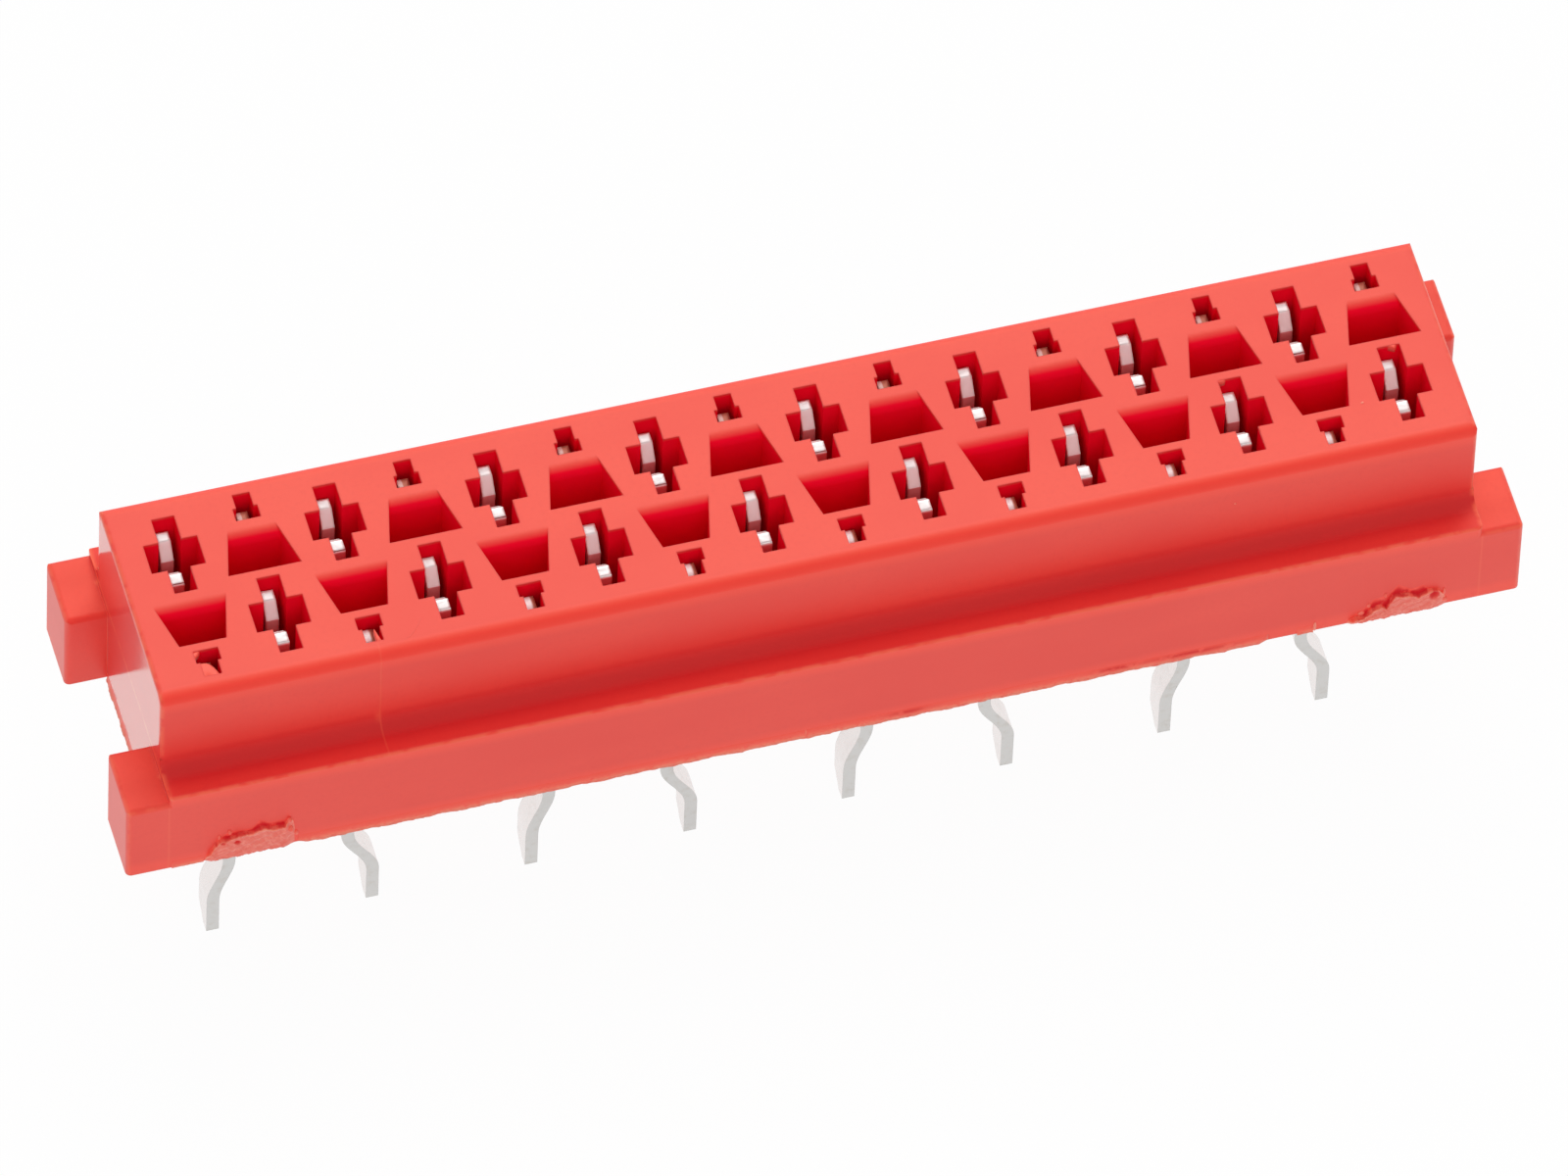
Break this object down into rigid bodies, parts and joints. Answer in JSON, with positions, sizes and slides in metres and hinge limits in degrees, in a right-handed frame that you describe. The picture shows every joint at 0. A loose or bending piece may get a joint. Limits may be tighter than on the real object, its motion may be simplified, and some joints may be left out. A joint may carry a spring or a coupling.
{
  "type": "socket header",
  "caption": "Staggered socket header for a circuit board: red moulded housing with cross-shaped openings over fork contacts, flanged sides, end rails and kinked solder tails.",
  "frame": {"origin": "middle of the underside, in the plane that sits on the board", "axes": "+X along the rows from the first contact to the last, +Y to the rear long side, +Z away from the board"},
  "size_m": [0.0222, 0.005, 0.0069],
  "materials": {
    "housing_plastic": "moulded thermoplastic, semi-gloss, with torn gate marks on the front edge",
    "contact_tin": "stamped copper alloy strip with satin tin plating"
  },
  "bodies": {
    "root": {"housing": "housing_plastic", "contact_01": "contact_tin", "contact_02": "contact_tin", "contact_03": "contact_tin", "contact_04": "contact_tin", "contact_05": "contact_tin", "contact_06": "contact_tin", "contact_07": "contact_tin", "contact_08": "contact_tin", "contact_09": "contact_tin", "contact_10": "contact_tin", "contact_11": "contact_tin", "contact_12": "contact_tin", "contact_13": "contact_tin", "contact_14": "contact_tin", "contact_15": "contact_tin", "contact_16": "contact_tin"}
  },
  "joints": []
}
